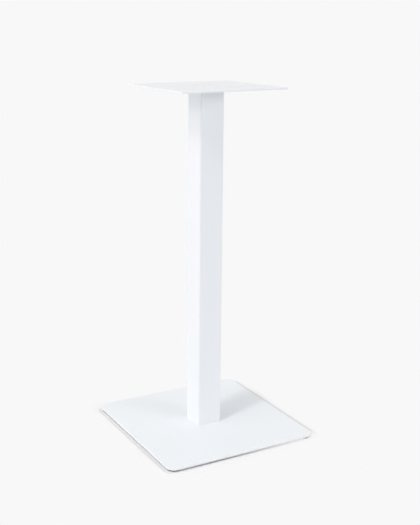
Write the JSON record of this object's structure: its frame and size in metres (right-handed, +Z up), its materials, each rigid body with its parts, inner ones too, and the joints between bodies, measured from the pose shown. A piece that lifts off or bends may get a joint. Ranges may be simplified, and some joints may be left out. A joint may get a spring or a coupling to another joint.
{
  "type": "bar leaner table base",
  "caption": "Tall square pedestal for a bar-height table: flat base plate on screw-in levelling feet, square tube column and a flat plate that the table top is screwed to.",
  "frame": {"origin": "on the floor, under the column's axis, with the levelling feet screwed right in", "axes": "+Z up along the column; X and Y square to the plates' sides, with the corner nearest the picture's camera at -X -Y"},
  "size_m": [0.48, 0.48, 1.02],
  "materials": {
    "white_powder_coat": "satin",
    "zinc_plated_steel": "satin",
    "black_nylon": "matte"
  },
  "bodies": {
    "pedestal": {"base_plate": "white_powder_coat", "column": "white_powder_coat", "column_foot_flange": "white_powder_coat", "column_head_flange": "white_powder_coat", "top_plate": "white_powder_coat", "base_screw_1": "zinc_plated_steel", "base_screw_2": "zinc_plated_steel", "base_screw_3": "zinc_plated_steel", "base_screw_4": "zinc_plated_steel", "top_screw_1": "zinc_plated_steel", "top_screw_2": "zinc_plated_steel", "top_screw_3": "zinc_plated_steel", "top_screw_4": "zinc_plated_steel"},
    "foot_1": {"foot_stud_1": "zinc_plated_steel", "foot_pad_1": "black_nylon"},
    "foot_2": {"foot_stud_2": "zinc_plated_steel", "foot_pad_2": "black_nylon"},
    "foot_3": {"foot_stud_3": "zinc_plated_steel", "foot_pad_3": "black_nylon"},
    "foot_4": {"foot_stud_4": "zinc_plated_steel", "foot_pad_4": "black_nylon"}
  },
  "joints": [
    {"name": "foot_1_travel", "type": "slide", "parent": "pedestal", "child": "foot_1", "axis": [0, 0, -1], "range_m": [0, 0.0025]},
    {"name": "foot_2_travel", "type": "slide", "parent": "pedestal", "child": "foot_2", "axis": [0, 0, -1], "range_m": [0, 0.0025]},
    {"name": "foot_3_travel", "type": "slide", "parent": "pedestal", "child": "foot_3", "axis": [0, 0, -1], "range_m": [0, 0.0025]},
    {"name": "foot_4_travel", "type": "slide", "parent": "pedestal", "child": "foot_4", "axis": [0, 0, -1], "range_m": [0, 0.0025]}
  ]
}
